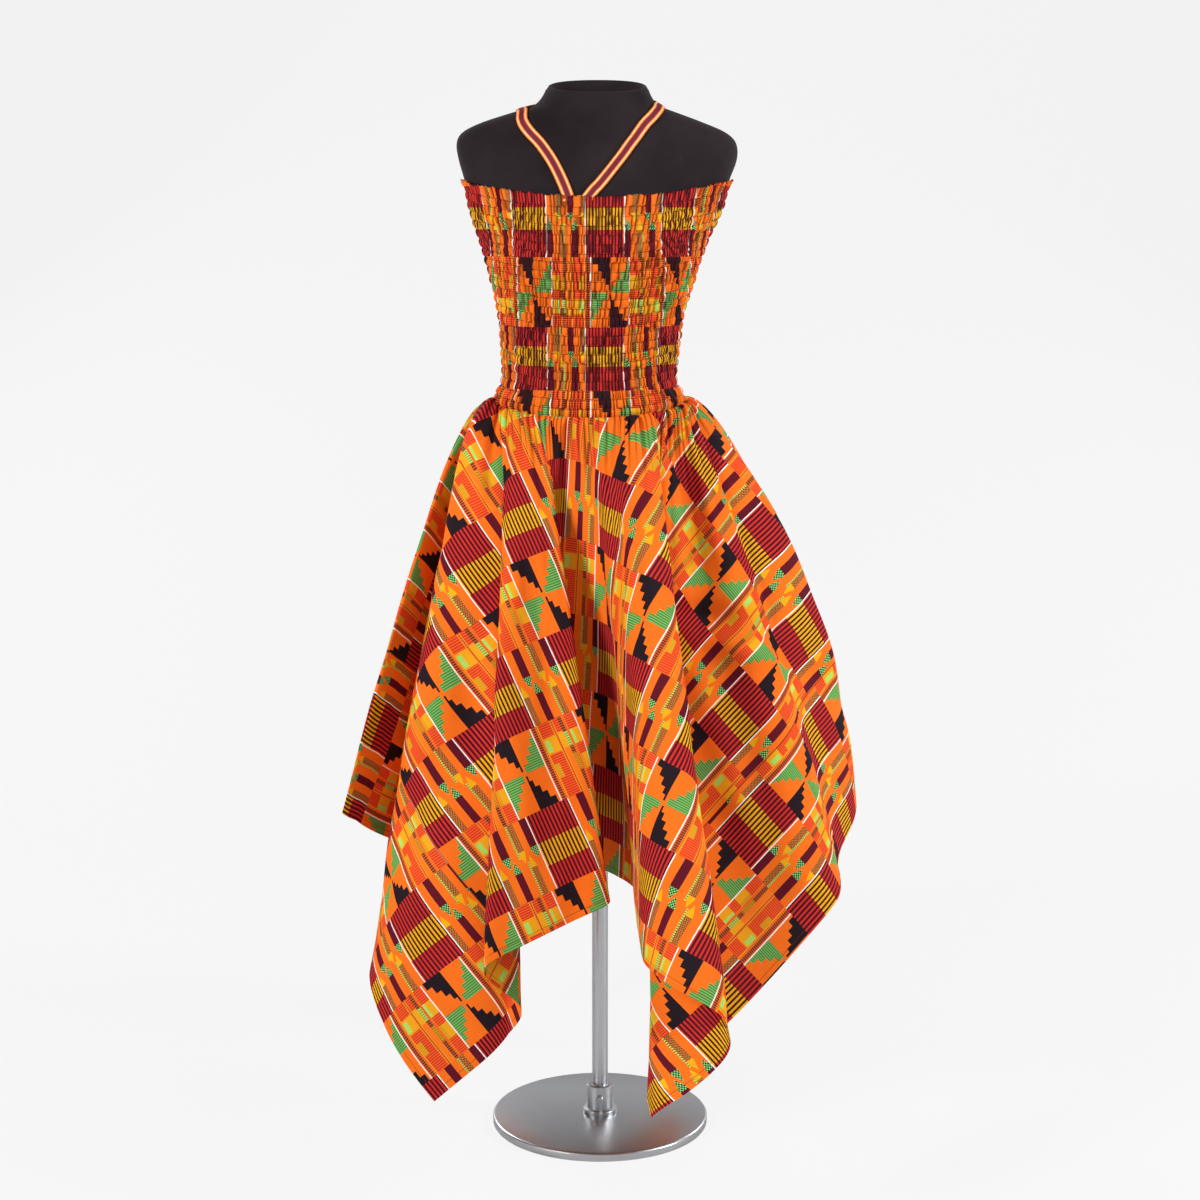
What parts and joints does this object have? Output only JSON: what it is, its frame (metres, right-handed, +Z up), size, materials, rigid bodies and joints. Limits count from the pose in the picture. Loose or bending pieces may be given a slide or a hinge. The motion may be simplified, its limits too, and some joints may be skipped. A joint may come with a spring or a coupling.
{
  "type": "sleeveless handkerchief-hem dress on a limbless dress form",
  "caption": "Strapless shirred dress with narrow halter ties and a square-cut skirt hanging in corner points, worn on a limbless dress form on a round-plate stand.",
  "frame": {"origin": "middle of the object's box in plan, on the floor under the stand plate", "axes": "+Z up, the front of the dress faces -Y, +X to the viewer's right"},
  "size_m": [0.689, 0.8602, 1.4318],
  "materials": {
    "cotton": "printed plain-weave cotton, orange ground with maroon, gold, green, black and white",
    "tie": "striped strip of the same printed cotton, folded and stitched",
    "form": "matte black flocked jersey over a moulded torso",
    "stand": "satin steel"
  },
  "bodies": {
    "root": {"stand_plate": "stand", "stand_socket": "stand", "stand_pole": "stand", "form_flange": "stand", "form_body": "form", "bodice": "cotton", "skirt_main": "cotton", "skirt_side_left": "cotton", "skirt_side_right": "cotton", "tie_left": "tie", "tie_right": "tie", "tie_tail_left": "tie", "tie_tail_right": "tie", "tie_knot": "tie"}
  },
  "joints": []
}
